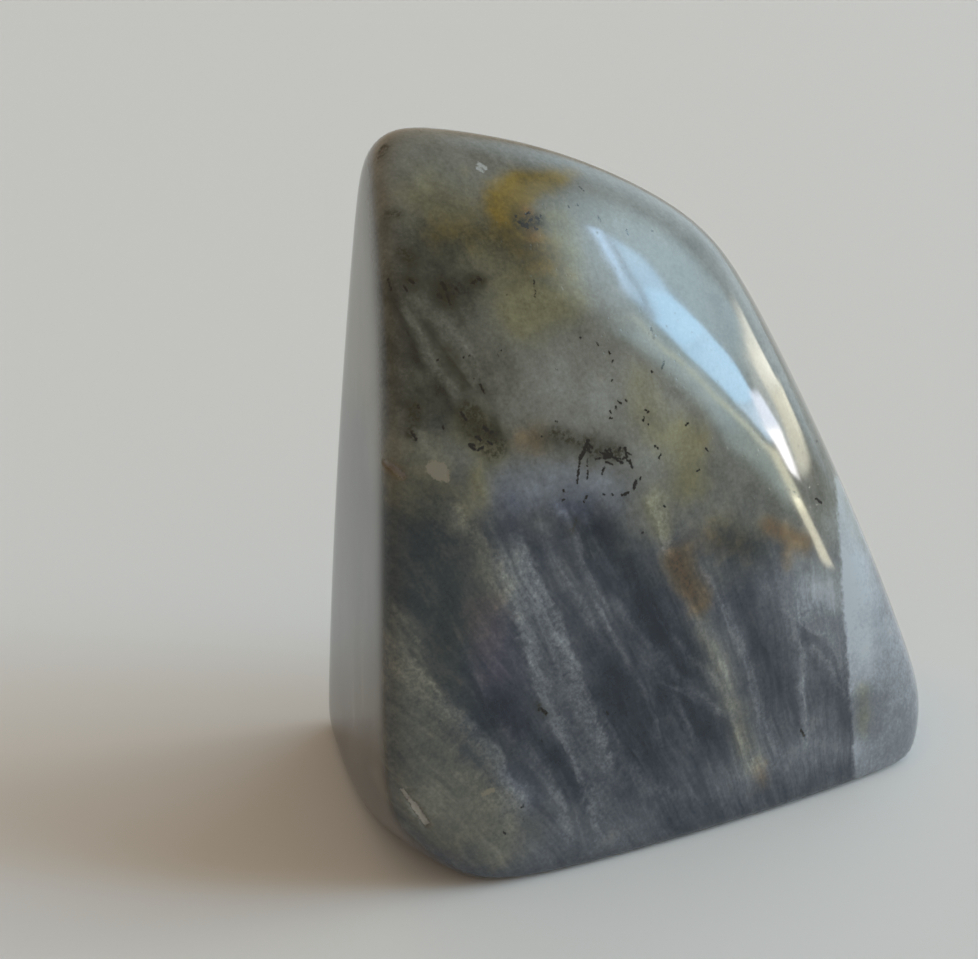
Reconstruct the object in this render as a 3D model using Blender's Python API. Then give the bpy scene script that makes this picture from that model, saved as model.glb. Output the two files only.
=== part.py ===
"""Polished labradorite freeform: one stone with a flat sawn base, standing about 78 mm tall.

The lapidary ground a few broad, gently crowned faces and rounded the edges between them. Each
ground face is one entry below, and the stone is the body that lies inside all of them.

Metres, +Z up. The origin is the middle of the base, the front face looks towards -Y and the
taller, steeper end is at -X.
"""

import collections
import math

import bmesh
import bpy
import numpy as np

MM = 0.001

# Driving dimensions, in millimetres and degrees.
CENTRE_HEIGHT = 34.0
HALF_WIDTH = 39.0
HALF_DEPTH = 27.0
HALF_HEIGHT = 39.0
SAW_THICKNESS = 10.0

# azimuth: the way the face looks, counted from +X towards +Y; tilt: how far it looks upwards.
# distance: from the stone's centre; edge: roundness of the edges around the face.
# crown: radius of the face's slight doming.
GroundFace = collections.namedtuple("GroundFace", "azimuth tilt distance edge crown")

GROUND_FACES = {
    "left side": GroundFace(194.5, 4.0, 33.3, 1.2, 1500.0),
    "front": GroundFace(-64.0, 12.5, 10.9, 1.1, 350.0),
    "front right ridge": GroundFace(-54.5, 25.5, 14.2, 1.6, 150.0),
    "back": GroundFace(102.0, 6.0, 18.2, 1.5, 600.0),
    "right side": GroundFace(-3.0, 27.5, 22.5, 1.8, 400.0),
    "right foot": GroundFace(-10.5, -7.0, 39.9, 0.9, 500.0),
    "right shoulder": GroundFace(-12.5, 52.0, 29.6, 1.2, 150.0),
    "crest": GroundFace(-2.0, 73.5, 38.5, 1.2, 200.0),
    "tip": GroundFace(189.5, 48.0, 51.8, 1.2, 300.0),
    "left heel": GroundFace(226.5, -38.5, 45.7, 2.5, 300.0),
    "base": GroundFace(0.0, -90.0, 34.3, 1.0, 100000.0),
}

# The sphere that is ground to shape is fine, and is then thinned where the stone is nearly flat.
SPHERE_SUBDIVISIONS = 7
KEPT_SHARE_OF_FACES = 0.07
HALVINGS = 40
FARTHEST = 3.0

COLLECTION = "polished_labradorite"
CUTTERS = "cutters"
STONE_COLOUR = (0.150, 0.158, 0.150, 1.0)
STONE_ROUGHNESS = 0.09


def clear_scene():
    for existing in list(bpy.data.objects):
        bpy.data.objects.remove(existing, do_unlink=True)


def make_collection(name):
    collection = bpy.data.collections.new(name)
    bpy.context.scene.collection.children.link(collection)
    return collection


def polished_stone_material():
    material = bpy.data.materials.new("polished_stone")
    material.use_nodes = True
    shader = material.node_tree.nodes["Principled BSDF"]
    shader.inputs["Base Color"].default_value = STONE_COLOUR
    shader.inputs["Roughness"].default_value = STONE_ROUGHNESS
    shader.inputs["Metallic"].default_value = 0.0
    material.diffuse_color = STONE_COLOUR
    return material


def face_normals():
    normals = []
    for face in GROUND_FACES.values():
        azimuth, tilt = math.radians(face.azimuth), math.radians(face.tilt)
        across = math.cos(tilt)
        normals.append((across * math.cos(azimuth), across * math.sin(azimuth), math.sin(tilt)))
    return np.array(normals)


def grinding_depth(offsets):
    """Over 1 outside the stone and under 1 inside it, for offsets from its centre in millimetres.

    Each face counts by how far the point lies past it, so near one face only that face matters,
    and where two meet their sum rounds the edge between them.
    """
    normals = face_normals()
    distance, edge, crown = (
        np.array([getattr(face, name) for face in GROUND_FACES.values()])
        for name in ("distance", "edge", "crown")
    )
    along = offsets @ normals.T
    across_squared = (offsets**2).sum(axis=1, keepdims=True) - along**2
    past = (along - distance + across_squared / (2.0 * crown)) / edge
    return np.exp(np.clip(past, -60.0, 60.0)).sum(axis=1)


def ground_surface(directions):
    """The point of the stone's surface along each direction from its centre, by halving."""
    near = np.zeros(len(directions))
    far = np.full(len(directions), FARTHEST)
    for _ in range(HALVINGS):
        middle = (near + far) / 2.0
        inside = grinding_depth(directions * middle[:, None]) < 1.0
        near = np.where(inside, middle, near)
        far = np.where(inside, far, middle)
    return directions * near[:, None] + np.array((0.0, 0.0, CENTRE_HEIGHT))


def rough_ball():
    """A fine unit sphere, as a mesh."""
    ball = bmesh.new()
    bmesh.ops.create_icosphere(ball, subdivisions=SPHERE_SUBDIVISIONS, radius=1.0)
    mesh = bpy.data.meshes.new("stone")
    ball.to_mesh(mesh)
    ball.free()
    return mesh


def grind(mesh):
    """Moves each point of a unit sphere out to the ground surface."""
    unit = np.empty(len(mesh.vertices) * 3)
    mesh.vertices.foreach_get("co", unit)
    directions = unit.reshape(-1, 3) * np.array((HALF_WIDTH, HALF_DEPTH, HALF_HEIGHT))
    mesh.vertices.foreach_set("co", (ground_surface(directions) * MM).ravel())
    mesh.update()


def make_base_saw(collection):
    """The block below z = 0 that saws the base flat."""
    bpy.ops.mesh.primitive_cube_add(size=1.0)
    saw = bpy.context.object
    saw.name = "base_saw"
    saw.scale = (4.0 * HALF_WIDTH * MM, 4.0 * HALF_DEPTH * MM, SAW_THICKNESS * MM)
    saw.location = (0.0, 0.0, -SAW_THICKNESS * MM / 2.0)
    saw.hide_render = True
    saw.display_type = "WIRE"
    for holder in list(saw.users_collection):
        holder.objects.unlink(saw)
    collection.objects.link(saw)
    return saw


def make_stone(collection, saw):
    mesh = rough_ball()
    grind(mesh)
    mesh.shade_smooth()
    mesh.materials.append(polished_stone_material())
    stone = bpy.data.objects.new("stone", mesh)
    collection.objects.link(stone)
    thinned = stone.modifiers.new("thin_flat_areas", "DECIMATE")
    thinned.ratio = KEPT_SHARE_OF_FACES
    sawn = stone.modifiers.new("saw_base_flat", "BOOLEAN")
    sawn.operation = "DIFFERENCE"
    sawn.object = saw
    return stone


clear_scene()
make_stone(make_collection(COLLECTION), make_base_saw(make_collection(CUTTERS)))
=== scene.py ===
"""Looks of the polished labradorite: its fine surface, its markings, and a plain pale studio."""

import collections
import math

import bmesh
import bpy
import numpy as np
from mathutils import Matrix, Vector, noise


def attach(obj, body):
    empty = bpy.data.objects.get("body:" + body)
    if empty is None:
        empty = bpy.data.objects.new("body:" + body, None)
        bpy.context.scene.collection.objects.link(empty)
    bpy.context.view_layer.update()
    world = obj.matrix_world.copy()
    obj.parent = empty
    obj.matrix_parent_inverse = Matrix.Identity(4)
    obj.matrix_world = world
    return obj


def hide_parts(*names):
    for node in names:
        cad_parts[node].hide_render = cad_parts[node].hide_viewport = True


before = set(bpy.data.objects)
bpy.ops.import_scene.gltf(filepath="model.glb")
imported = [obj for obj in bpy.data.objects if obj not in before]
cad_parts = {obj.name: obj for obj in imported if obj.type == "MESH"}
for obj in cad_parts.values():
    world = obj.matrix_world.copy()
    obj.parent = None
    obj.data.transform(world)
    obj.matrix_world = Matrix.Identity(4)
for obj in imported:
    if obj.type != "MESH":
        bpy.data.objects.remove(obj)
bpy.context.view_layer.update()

MM = 0.001

# The stone, in millimetres and degrees: the same ground faces as the CAD solid has. Each is given
# as azimuth, the way it looks, from +X towards +Y; tilt, how far it looks upwards; distance from
# the stone's centre; roundness of the edges around it; and radius of its slight doming.
GROUND_FACES = {
    "left side": (194.5, 4.0, 33.3, 1.2, 1500.0),
    "front": (-64.0, 12.5, 10.9, 1.1, 350.0),
    "front right ridge": (-54.5, 25.5, 14.2, 1.6, 150.0),
    "back": (102.0, 6.0, 18.2, 1.5, 600.0),
    "right side": (-3.0, 27.5, 22.5, 1.8, 400.0),
    "right foot": (-10.5, -7.0, 39.9, 0.9, 500.0),
    "right shoulder": (-12.5, 52.0, 29.6, 1.2, 150.0),
    "crest": (-2.0, 73.5, 38.5, 1.2, 200.0),
    "tip": (189.5, 48.0, 51.8, 1.2, 300.0),
    "left heel": (226.5, -38.5, 45.7, 2.5, 300.0),
    "base": (0.0, -90.0, 34.3, 1.0, 100000.0),
}
CENTRE = np.array((0.0, 0.0, 34.0))
HALF_SIZE = np.array((39.0, 27.0, 39.0))
SPHERE_SUBDIVISIONS = 7
HALVINGS, FARTHEST, LARGEST_EXPONENT = 40, 3.0, 60.0
CUT_TOLERANCE, FLAT_DOWN = 1e-7, -0.9999

# The photo's camera, in millimetres, degrees and photo pixels.
PHOTO_WIDTH, PHOTO_HEIGHT = 978, 959
FOCAL_PIXELS = 1500.0
CAMERA_AT = np.array((-17.6, -161.1, 100.0))
CAMERA_DOWN = 21.0
SENSOR_WIDTH = 36.0
NEAREST_SEEN = 0.005

# How far from the camera the stone's surface is looked for, in millimetres.
STONE_DEPTHS = np.arange(90.0, 230.0)

# Black specks: their half-width in millimetres, then photo pixels, across and down by turns.
SPECKS = {
    0.08: ((642, 533, 643, 533), (656, 605, 656, 606), (639, 616, 639, 617)),
    0.09: (
        (534, 281, 534, 286), (535, 290, 535, 297), (505, 295, 506, 295), (497, 354, 497, 355),
        (501, 350, 501, 351), (470, 356, 470, 357), (556, 369, 557, 369), (609, 352, 610, 354),
        (613, 360, 612, 362), (664, 360, 662, 369), (598, 216, 601, 222), (626, 229, 628, 235),
        (652, 231, 653, 231), (580, 187, 584, 191), (568, 206, 569, 208), (577, 204, 578, 205),
        (520, 808, 524, 805), (523, 819, 524, 821),
    ),
    0.1: (
        (588, 471, 587, 479), (596, 459, 601, 458), (604, 468, 602, 474), (562, 500, 564, 500),
        (604, 494, 604, 495), (612, 494, 613, 495), (664, 506, 665, 507), (388, 279, 391, 290),
        (437, 360, 438, 360), (463, 357, 464, 358), (541, 436, 542, 436), (597, 342, 598, 345),
        (649, 333, 649, 334), (610, 411, 611, 413), (609, 418, 612, 418), (648, 425, 648, 424),
        (607, 712, 608, 714), (504, 832, 505, 834), (541, 739, 542, 741), (626, 452, 631, 455),
        (618, 451, 621, 447), (455, 290, 458, 287), (655, 446, 658, 448), (686, 425, 688, 423),
        (706, 448, 708, 451),
    ),
    0.11: (
        (588, 459, 587, 466), (563, 490, 564, 492), (540, 215, 541, 217), (447, 294, 450, 305),
        (418, 406, 419, 408), (443, 427, 443, 429), (556, 421, 557, 422), (580, 338, 581, 338),
        (612, 380, 612, 381), (626, 400, 627, 401), (644, 417, 643, 421),
    ),
    0.12: (
        (589, 444, 592, 448), (580, 460, 577, 483), (627, 460, 631, 463), (640, 479, 641, 477),
        (587, 496, 584, 502), (659, 458, 661, 454), (697, 471, 699, 470), (516, 216, 516, 218),
        (527, 227, 528, 230), (480, 385, 484, 393), (651, 327, 652, 331), (651, 371, 652, 372),
        (618, 401, 621, 403), (616, 407, 616, 409), (645, 410, 648, 412), (386, 146, 381, 151),
        (606, 462, 612, 464), (600, 452, 606, 455), (526, 214, 530, 212), (488, 441, 492, 444),
        (404, 286, 407, 291),
    ),
    0.13: ((610, 449, 612, 455),),
    0.14: (
        (612, 457, 618, 459, 626, 458), (606, 450, 608, 454), (461, 413, 466, 420),
        (472, 444, 474, 446), (478, 450, 483, 447), (653, 335, 654, 339), (586, 446, 590, 452),
        (533, 226, 537, 229), (438, 294, 442, 298),
    ),
    0.16: (
        (625, 448, 627, 457), (529, 221, 531, 219), (472, 283, 475, 282), (412, 432, 416, 439),
        (617, 459, 622, 463), (523, 226, 527, 224), (476, 436, 481, 440),
    ),
    0.17: (
        (630, 461, 632, 467), (622, 495, 628, 493), (536, 218, 539, 220), (410, 280, 414, 283),
        (478, 278, 481, 280), (490, 433, 492, 432), (801, 730, 804, 736),
    ),
    0.19: ((519, 222, 522, 224), (484, 427, 487, 430)),
    0.2: ((588, 441, 585, 447, 584, 453), (636, 481, 634, 488), (540, 709, 546, 713)),
    0.22: ((442, 283, 446, 290), (470, 445, 474, 449)),
    0.24: ((584, 452, 580, 458),),
    0.3: ((605, 457, 611, 455),),
}

# Other markings read off the photo, each again a half-width, then photo pixels.
STROKES = {
    "speck": tuple((width, *line) for width, lines in SPECKS.items() for line in lines),
    "moss": (
        (1.0, 519, 222, 536, 221), (0.45, 388, 213, 398, 214), (0.9, 443, 286, 449, 301),
        (0.6, 473, 281, 482, 280), (0.4, 446, 350, 455, 366, 463, 383),
        (1.7, 470, 416, 484, 432, 494, 446), (0.7, 416, 408, 412, 436), (0.6, 409, 280, 415, 284),
        (0.5, 538, 706, 548, 716), (0.8, 594, 452, 622, 454), (0.9, 556, 434, 590, 446),
        (0.4, 577, 520, 572, 530), (0.8, 402, 250, 414, 262), (0.7, 384, 148, 379, 158),
    ),
    "rust": (
        (0.55, 766, 524, 786, 536, 806, 540), (0.45, 782, 530, 792, 546), (0.5, 676, 560, 690, 592),
        (0.3, 384, 463, 402, 475),
    ),
    "vein": (
        (0.2, 565, 510, 580, 555, 600, 590, 612, 620),
        (0.18, 585, 515, 592, 535, 606, 560, 618, 580), (0.17, 640, 680, 652, 700, 658, 720),
        (0.15, 660, 681, 680, 691, 700, 704), (0.16, 488, 520, 508, 560, 524, 596),
        (0.14, 533, 604, 552, 650, 566, 690), (0.15, 520, 572, 540, 604, 560, 642),
        (0.15, 450, 616, 476, 672, 490, 716), (0.14, 470, 690, 498, 742, 512, 780),
        (0.13, 628, 640, 644, 672, 650, 690), (0.14, 706, 560, 722, 606, 736, 652),
        (0.15, 798, 600, 801, 660, 806, 720), (0.13, 660, 752, 690, 790, 704, 806),
        (0.16, 548, 700, 566, 742, 580, 776), (0.13, 560, 770, 576, 812, 584, 844),
        (0.2, 478, 167, 481, 172, 486, 166), (0.12, 588, 555, 588, 557),
        (0.13, 402, 545, 420, 584, 430, 612), (0.13, 414, 646, 438, 690, 452, 722),
    ),
    "scar": ((0.22, 402, 791, 408, 799, 414, 806), (0.34, 414, 806, 420, 815, 426, 824)),
    "old scar": ((0.3, 383, 462, 392, 467, 403, 476), (0.16, 384, 146, 379, 153)),
    "frost": ((0.28, 479, 164, 485, 168), (0.18, 477, 168, 482, 171)),
    "fleck": ((0.75, 433, 468, 441, 474), (0.4, 443, 466, 447, 478), (0.3, 484, 794, 492, 790)),
}

# How light the rock is: 0 is nearly black, 1 is pale. Broad patches of another tone: radius in
# millimetres, change of tone, then photo pixels. Most are the rock's own tone, but some lighter
# ones are painted light: a painted reflection of the floor along the rounded bottom edge, and
# painted sheen on partly paler rock beside the top of the highlight and at the lower right.
TONE_AND_SHEEN_PATCHES = (
    (3.2, -0.3, 393, 290, 402, 350, 410, 420), (3.4, -0.24, 425, 500, 420, 560, 418, 600),
    (2.0, -0.24, 452, 600, 446, 640), (2.4, -0.24, 438, 650, 462, 690, 490, 715),
    (2.2, -0.24, 500, 712, 522, 738, 545, 755), (1.6, -0.26, 560, 762, 578, 790),
    (2.2, -0.3, 602, 528, 622, 560, 640, 590), (2.6, -0.38, 650, 620, 676, 640, 690, 662),
    (3.0, 0.16, 780, 640, 820, 700), (2.4, -0.14, 700, 244, 712, 258),
    (2.0, -0.2, 598, 645, 612, 670), (3.0, -0.34, 618, 690, 638, 720, 656, 745),
    (2.4, -0.3, 668, 690, 694, 712, 716, 738), (2.2, -0.18, 770, 650, 782, 690),
    (2.4, 0.14, 826, 720, 842, 745), (2.0, -0.22, 728, 540, 752, 548),
    (1.8, -0.3, 450, 296, 474, 285), (4.0, -0.26, 440, 240, 480, 240, 520, 250),
    (2.2, -0.3, 476, 426, 498, 438), (0.8, -0.24, 480, 432, 492, 436),
    (1.6, -0.24, 540, 442, 575, 446, 606, 448), (3.0, 0.22, 556, 385, 600, 400),
    (3.2, 0.24, 640, 380, 672, 420, 646, 450), (2.4, 0.22, 492, 500, 530, 492, 560, 482, 600, 488),
    # Lighter along the rounded bottom edge: painted reflection of the floor.
    (4.0, 0.4, 440, 806, 472, 822, 500, 846), (2.8, 0.26, 545, 848, 600, 846, 640, 830),
    # Lighter at the lower right and its bottom edge: partly paler rock, partly painted sheen.
    (2.4, 0.22, 800, 750, 860, 745), (3.6, 0.44, 798, 574, 824, 600, 838, 636),
    (3.0, 0.24, 832, 520, 842, 556), (2.4, 0.22, 862, 570, 868, 620, 868, 670),
    (2.2, 0.2, 815, 586, 838, 600), (2.6, -0.18, 858, 705, 866, 730),
    (4.2, -0.2, 430, 262, 455, 330, 470, 370), (2.6, -0.2, 436, 380, 446, 412),
    (2.4, -0.14, 516, 238, 534, 258), (1.8, -0.12, 530, 184, 550, 182),
    (2.6, 0.12, 592, 590, 606, 606), (2.2, 0.14, 862, 560, 878, 592),
    # The second patch here is painted sheen beside the top of the highlight, on partly paler rock.
    (2.6, -0.08, 492, 372, 510, 392), (3.0, 0.22, 575, 250, 600, 262),
    (3.0, 0.08, 560, 795, 590, 820, 640, 800), (3.0, 0.16, 720, 780, 760, 770, 810, 752),
    (2.3, 0.34, 700, 612, 718, 652, 734, 698, 748, 740, 756, 766),
    (2.0, 0.06, 644, 500, 656, 530, 666, 552), (2.0, -0.22, 676, 564, 700, 604),
    (2.6, 0.22, 772, 588, 800, 606), (1.2, -0.16, 520, 212, 534, 222),
    (0.9, -0.14, 386, 468, 398, 472), (3.0, 0.14, 400, 690, 406, 740, 420, 780),
    # Lighter beside the top of the highlight: partly paler rock, partly painted sheen.
    (3.0, 0.14, 610, 215, 650, 235), (2.4, 0.16, 585, 285, 612, 300),
)

# Veils in the rock: millimetres over which they fade, change of tone, then photo pixels. A veil
# has a crisp side, on the left hand of its line as it runs, and fades to the other.
VEILS = (
    (2.5, 0.46, 506, 526, 530, 565, 549, 602, 565, 632, 580, 660, 590, 695, 604, 728, 618, 758,
     636, 788),
    (2.0, 0.4, 604, 852, 589, 808, 575, 770, 560, 738, 546, 702, 530, 668, 515, 640, 504, 608, 490,
     574, 472, 540),
    (0.9, 0.3, 497, 555, 512, 595, 528, 632, 544, 675, 560, 705),
    (1.6, 0.28, 446, 486, 474, 536, 494, 576, 512, 622),
    (3.0, 0.36, 398, 626, 428, 668, 452, 697, 474, 722, 496, 752, 512, 785, 536, 830),
    (1.2, 0.2, 436, 738, 468, 772, 494, 802, 520, 845),
    (1.0, 0.21, 456, 696, 484, 738, 508, 776, 532, 820),
    (1.4, 0.22, 396, 588, 424, 632, 446, 668, 476, 710),
    (1.0, 0.27, 520, 728, 545, 772, 562, 808, 578, 848),
    (0.9, 0.33, 554, 492, 580, 538, 598, 575, 616, 614),
    (0.9, 0.3, 534, 512, 560, 558, 584, 600, 612, 650),
    (0.7, 0.36, 594, 590, 622, 640, 642, 682, 655, 716, 668, 752),
    (0.6, 0.3, 634, 630, 664, 678, 686, 714, 708, 754),
    (0.6, 0.33, 648, 676, 680, 687, 702, 699, 728, 718), (0.7, 0.3, 658, 612, 690, 656, 720, 698),
    (0.8, 0.27, 614, 588, 644, 628, 668, 660, 696, 698),
    (0.8, 0.24, 590, 690, 620, 735, 645, 772, 668, 806), (1.0, 0.21, 634, 752, 662, 785, 690, 804),
    (0.8, 0.24, 474, 664, 492, 700, 508, 736, 522, 764),
    (0.7, 0.24, 540, 668, 556, 700, 572, 724, 590, 760),
    (1.0, 0.21, 762, 790, 750, 765, 735, 725, 716, 680, 700, 636, 680, 590),
    (1.8, 0.35, 668, 562, 658, 535, 644, 492),
    (1.6, 0.22, 778, 776, 766, 730, 748, 690, 730, 645, 714, 594),
    (0.7, 0.27, 698, 552, 724, 612, 746, 664, 764, 712, 784, 756),
    (1.6, 0.22, 856, 700, 836, 664, 818, 642, 800, 624, 774, 606),
    (0.8, 0.32, 794, 604, 801, 655, 804, 700, 810, 752),
    (0.8, 0.27, 802, 644, 826, 664, 846, 688, 858, 710),
    (0.8, -0.26, 392, 282, 402, 312, 414, 346, 424, 372),
    (0.9, -0.3, 424, 316, 438, 344, 452, 368, 468, 390), (0.7, -0.26, 432, 372, 440, 392, 450, 416),
    (0.7, -0.22, 398, 384, 408, 402, 420, 424), (0.9, -0.2, 470, 380, 488, 410, 500, 440),
    (1.0, -0.22, 560, 500, 600, 560, 632, 610), (0.9, -0.24, 456, 640, 478, 680, 500, 716),
    (0.9, -0.24, 632, 660, 648, 700, 668, 740), (0.8, -0.18, 742, 600, 762, 650, 784, 700),
    (0.8, 0.24, 404, 300, 420, 330, 436, 366, 452, 396), (0.7, 0.24, 444, 318, 460, 350, 478, 378),
    (0.8, 0.24, 404, 400, 420, 430, 436, 452),
)
# The fade on a veil's crisp side, the share of its length over which each end tapers, and how far
# from it the mesh is refined, in millimetres. It wanders by noises, each with its size and reach.
VEIL_CRISPNESS, VEIL_TAPER, VEIL_REFINED = 0.32, 0.12, 0.6
VEIL_WANDER = ((9.0, 1.2), (2.6, 0.4))
WANDER_SHIFTS = [Vector((shift, shift, shift)) for shift in (11.3, 47.7, 83.1)]

# Tints: how they change the rock's colour, then patches of radius, strength and photo pixels.
TINTS = {
    "ochre": (
        (1.34, 0.95, 0.22),
        (2.2, 0.9, 500, 200, 516, 192), (1.8, 1.0, 528, 184, 548, 182),
        (1.4, 0.6, 560, 176, 572, 172), (2.8, 0.8, 514, 228, 538, 252),
        (1.4, 0.2, 690, 430, 706, 442), (2.2, 0.4, 470, 232, 436, 232),
    ),
    "olive and reflection": (
        (1.08, 1.0, 0.66),
        # Olive: the rock's stain, and at the upper left also a painted warm reflection.
        (4.5, 0.7, 430, 200, 480, 240, 520, 280), (3.0, 0.6, 520, 320, 575, 300),
        (2.6, 0.7, 556, 220, 566, 250), (3.0, 0.6, 640, 385, 655, 430),
        (3.0, 0.8, 690, 440, 690, 480), (2.4, 0.7, 470, 430, 490, 450),
        (1.4, 0.6, 476, 480, 482, 500), (2.0, 0.7, 652, 505, 664, 530),
        (1.4, 0.6, 864, 690, 862, 730),
    ),
    "umber": (
        (1.1, 1.0, 0.7),
        (7.0, 1.0, 400, 510, 415, 600, 405, 700, 430, 790), (5.0, 0.7, 450, 540, 470, 590),
        (5.0, 0.7, 470, 820, 500, 840), (2.4, 0.6, 700, 620, 726, 690, 752, 760),
        (3.0, 0.6, 720, 530, 752, 545),
    ),
    "brown": (
        (1.32, 0.9, 0.5),
        (0.8, 0.6, 386, 468, 398, 472), (2.0, 1.0, 675, 560, 688, 585, 700, 600),
        (1.6, 0.7, 770, 526, 790, 536, 806, 544), (2.0, 0.6, 526, 440, 536, 438),
        (1.6, 0.5, 760, 772, 764, 780), (1.2, 0.5, 784, 556, 788, 564),
        (2.5, 0.4, 700, 540, 740, 545), (1.2, 0.6, 528, 212, 534, 240),
    ),
    "lilac": (
        (0.92, 0.97, 1.18),
        (3.2, 1.0, 520, 485, 560, 488, 605, 498), (2.0, 0.5, 508, 775, 530, 800),
    ),
    "violet": (
        (1.12, 0.93, 1.04),
        (2.6, 1.0, 484, 618, 498, 680), (1.6, 0.6, 508, 712, 520, 728),
    ),
}

# Markings on the sides that the photo doesn't show. Each stroke is a half-width in millimetres,
# then directions from the stone's centre: azimuth and elevation in degrees.
ROUND_STROKES = {
    "speck": (
        (0.22, 96, 22, 98, 19, 97, 16), (0.12, 99, 15, 100, 12),
        (0.18, 103, 20, 105, 19.4, 107, 19.8), (0.12, 112, 23, 113, 22), (0.14, 84, 30, 85.2, 30.6),
        (0.12, 78, 26, 78.6, 25), (0.16, 130, 34, 131.2, 33.4), (0.12, 140, 12, 140.6, 11),
        (0.14, 190, 38, 190.6, 37), (0.14, 200, 24, 201.2, 24.6), (0.12, 196, 5, 196.4, 4),
        (0.12, 193, 16, 193.6, 14.6), (0.1, 199, 12, 199.4, 11), (0.12, 188, 10, 188.3, 9.2),
        (0.1, 191, -2, 191.6, -3.4), (0.12, 201, -8, 201.4, -9.4), (0.12, 194, -16, 194.6, -16.8),
        (0.16, 90, 32, 92, 33), (0.12, 94, 28, 95, 29.4), (0.12, 101, 25, 102, 24.2),
        (0.14, 108, 26, 109.4, 27), (0.12, 117, 20, 118, 19), (0.12, 123, 26, 123.6, 27),
        (0.12, 136, 22, 137, 21), (0.1, 146, 20, 146.4, 19), (0.12, 112, 36, 113.4, 36.6),
        (0.1, 88, 20, 88.4, 19), (0.12, 98, 38, 99, 38.8), (0.12, 10, 20, 11, 19.2),
        (0.14, -2, 6, -1, 4),
    ),
    "moss": ((0.9, 100, 20, 110, 21), (1.2, 84, 31, 90, 36), (0.8, 198, 26, 203, 24)),
    "rust": ((0.6, 76, 4, 80, -6), (0.5, 152, 8, 156, 2)),
    "vein": (
        (0.18, 94, -4, 99, -24), (0.15, 106, 0, 112, -22), (0.15, 116, -6, 126, -30),
        (0.15, 144, 6, 150, -14), (0.15, 188, 6, 190, -20),
    ),
}

ROUND_TONE_PATCHES = (
    (5.0, -0.34, 108, 8, 122, -4), (4.0, 0.24, 80, 28, 104, 38), (5.0, -0.26, 148, -12, 158, 8),
    (4.0, 0.26, 62, 4, 46, -8), (5.0, -0.26, 92, -20, 100, -34), (4.0, 0.22, 128, -34, 146, -38),
    (4.0, -0.22, 192, 14, 198, -6), (4.0, 0.2, 186, -20, 200, -36), (4.0, -0.2, 14, -4, 8, -20),
    (5.0, -0.28, 70, 50, 100, 58), (4.0, 0.28, 130, 46, 150, 40), (3.0, -0.3, 64, 30, 60, 20),
    (4.0, 0.26, 62, -34, 52, -34), (3.0, -0.26, 114, -46, 128, -50), (3.0, 0.3, 140, -46, 152, -42),
    (2.4, -0.3, 100, 28, 116, 26),
)

ROUND_VEILS = (
    (2.4, 0.46, 112, 10, 118, -12, 122, -36, 125, -52),
    (1.6, 0.36, 126, 8, 134, -14, 140, -32, 146, -46),
    (1.2, 0.34, 98, 4, 104, -20, 108, -40, 112, -52),
    (0.9, 0.32, 88, 6, 94, -16, 98, -34, 102, -50),
    (2.6, 0.4, 150, 6, 156, -20, 160, -34, 164, -42), (0.8, 0.34, 104, 0, 110, -18, 113, -34),
    (0.7, 0.34, 118, -4, 126, -22, 130, -38), (0.8, 0.3, 142, 6, 147, -12, 150, -30),
    (2.2, 0.46, 84, -38, 82, -22, 77, -4, 71, 12), (1.0, -0.26, 92, 6, 99, -12, 104, -28),
    (1.0, -0.28, 132, 0, 138, -18, 144, -34), (0.8, -0.26, 120, 40, 124, 30, 130, 22),
    (0.8, 0.24, 96, 44, 104, 34, 109, 24), (1.2, 0.34, 190, 14, 195, -12, 198, -34),
    (1.0, 0.3, 202, 8, 205, -14, 207, -30), (0.8, -0.24, 186, 30, 190, 16, 192, 0),
    (1.8, 0.36, 16, 6, 11, -16), (1.6, 0.34, 110, 62, 126, 50, 140, 36),
    (1.2, -0.3, 90, 60, 100, 50, 112, 44), (1.0, 0.32, 70, 40, 76, 28, 80, 16),
    (1.4, 0.32, 150, 36, 158, 22, 164, 8), (1.4, 0.38, 66, 6, 70, -14, 72, -34),
    (1.0, 0.34, 56, 2, 60, -14, 62, -28), (0.9, 0.34, 47, -2, 51, -16, 54, -26),
    (1.0, 0.3, 28, 10, 24, -8, 20, -22), (1.0, -0.24, 4, 30, 2, 14, 0, 2),
)

ROUND_TINTS = {
    "ochre": ((2.4, 0.9, 118, 30, 130, 36), (1.6, 0.8, 72, 46, 84, 50)),
    "olive and reflection": (
        # The patch high on the left side, at azimuth 188 to 198, is partly olive stain, partly
        # painted dark reflection.
        (5.0, 0.8, 96, 30, 112, 26), (5.0, 0.8, 118, 52, 146, 42), (4.0, 0.6, 188, 34, 198, 28),
        (3.0, 0.6, 24, 14, 32, 20), (2.4, 0.7, 78, -6, 83, -24),
    ),
    "brown": ((2.6, 0.9, 72, 10, 76, 0), (2.4, 0.8, 150, 10, 156, 2)),
    "umber": ((7.0, 0.9, 150, 0, 160, -20), (7.0, 0.7, 196, 0, 204, -24)),
    "lilac": ((4.0, 0.8, 104, 14, 120, 16),),
    "violet": ((3.6, 0.8, 134, -6, 140, -18),),
}

# Broken places in the surface: depth and rim width in millimetres, then strokes.
DENTS = {
    "chip": (
        0.32, 0.14, (0.32, 402, 791, 408, 799, 414, 806), (0.42, 414, 806, 420, 815, 426, 825),
    ),
    "edge pit": (0.22, 0.12, (0.3, 383, 462, 392, 467, 403, 476)),
    "corner nick": (0.25, 0.15, (0.16, 384, 146, 379, 153)),
    "small pits": (
        0.08, 0.06,
        (0.14, 447, 470, 447, 478), (0.12, 541, 709, 546, 713), (0.1, 802, 731, 804, 735),
    ),
}

# Their ragged rims and uneven floors: share of the rim or depth, size in millimetres, noise seed.
RAGGED_RIM = (0.8, 0.45, 7.0)
UNEVEN_FLOOR = (0.35, 0.5, 3.0)

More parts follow.
